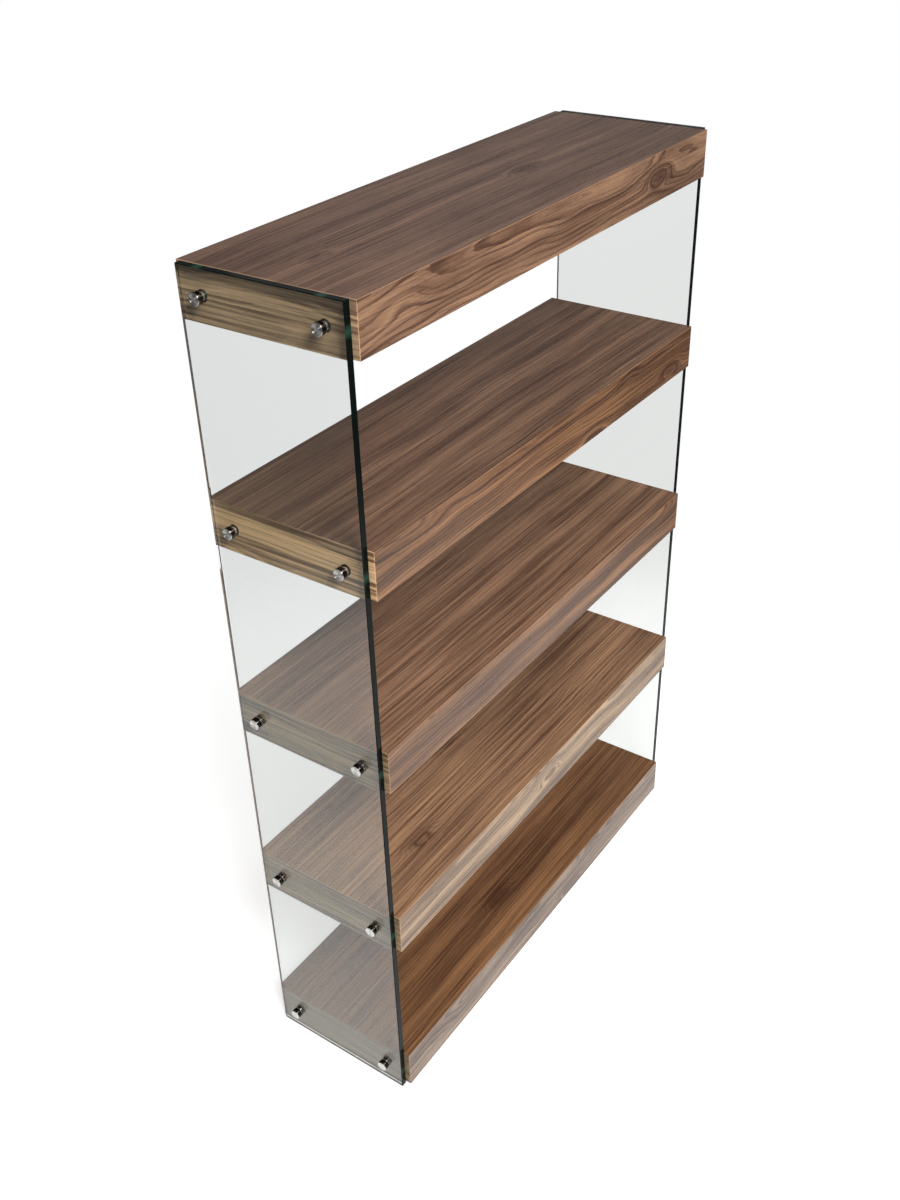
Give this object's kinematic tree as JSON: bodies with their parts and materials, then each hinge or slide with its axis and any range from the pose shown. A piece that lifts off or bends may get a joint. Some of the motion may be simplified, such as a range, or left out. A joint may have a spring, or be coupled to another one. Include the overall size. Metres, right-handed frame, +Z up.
{
  "type": "open bookcase",
  "caption": "Open walnut bookcase with thick box shelves fixed between two full-height clear glass end panels by round steel standoff caps.",
  "frame": {"origin": "centre of the footprint, on the floor", "axes": "+Z up, front faces -Y, +X to the right of a person who faces the front; the glass end panels are at -X and +X"},
  "size_m": [1.02, 0.305, 1.5],
  "materials": {
    "walnut_veneer": "walnut veneer on board, satin lacquer, arrises eased",
    "core_timber": "sawn softwood, not finished, hidden inside the shelves",
    "clear_glass": "clear toughened float glass, polished arrised edges that read dark green",
    "stainless_steel": "stainless steel, face turned to fine rings",
    "black_rubber": "punched black rubber sheet, matt",
    "clear_nylon": "extruded natural nylon, slightly cloudy",
    "zinc_plated_steel": "zinc plated, hidden",
    "brass": "machined brass, hidden"
  },
  "bodies": {
    "root": {"glass_panel_left": "clear_glass", "glass_panel_right": "clear_glass", "hole_bushes_left": "clear_nylon", "hole_bushes_right": "clear_nylon", "inner_gaskets_left": "black_rubber", "inner_gaskets_right": "black_rubber", "outer_gaskets_left": "black_rubber", "outer_gaskets_right": "black_rubber", "shelf_1_back_board": "walnut_veneer", "shelf_1_bottom_board": "walnut_veneer", "shelf_1_end_blocks": "core_timber", "shelf_1_end_board_left": "walnut_veneer", "shelf_1_end_board_right": "walnut_veneer", "shelf_1_front_board": "walnut_veneer", "shelf_1_ribs": "core_timber", "shelf_1_top_board": "walnut_veneer", "shelf_2_back_board": "walnut_veneer", "shelf_2_bottom_board": "walnut_veneer", "shelf_2_end_blocks": "core_timber", "shelf_2_end_board_left": "walnut_veneer", "shelf_2_end_board_right": "walnut_veneer", "shelf_2_front_board": "walnut_veneer", "shelf_2_ribs": "core_timber", "shelf_2_top_board": "walnut_veneer", "shelf_3_back_board": "walnut_veneer", "shelf_3_bottom_board": "walnut_veneer", "shelf_3_end_blocks": "core_timber", "shelf_3_end_board_left": "walnut_veneer", "shelf_3_end_board_right": "walnut_veneer", "shelf_3_front_board": "walnut_veneer", "shelf_3_ribs": "core_timber", "shelf_3_top_board": "walnut_veneer", "shelf_4_back_board": "walnut_veneer", "shelf_4_bottom_board": "walnut_veneer", "shelf_4_end_blocks": "core_timber", "shelf_4_end_board_left": "walnut_veneer", "shelf_4_end_board_right": "walnut_veneer", "shelf_4_front_board": "walnut_veneer", "shelf_4_ribs": "core_timber", "shelf_4_top_board": "walnut_veneer", "shelf_5_back_board": "walnut_veneer", "shelf_5_bottom_board": "walnut_veneer", "shelf_5_end_blocks": "core_timber", "shelf_5_end_board_left": "walnut_veneer", "shelf_5_end_board_right": "walnut_veneer", "shelf_5_front_board": "walnut_veneer", "shelf_5_ribs": "core_timber", "shelf_5_top_board": "walnut_veneer", "standoff_caps_left": "stainless_steel", "standoff_caps_right": "stainless_steel", "studs_left": "zinc_plated_steel", "studs_right": "zinc_plated_steel", "threaded_inserts_left": "brass", "threaded_inserts_right": "brass"}
  },
  "joints": []
}
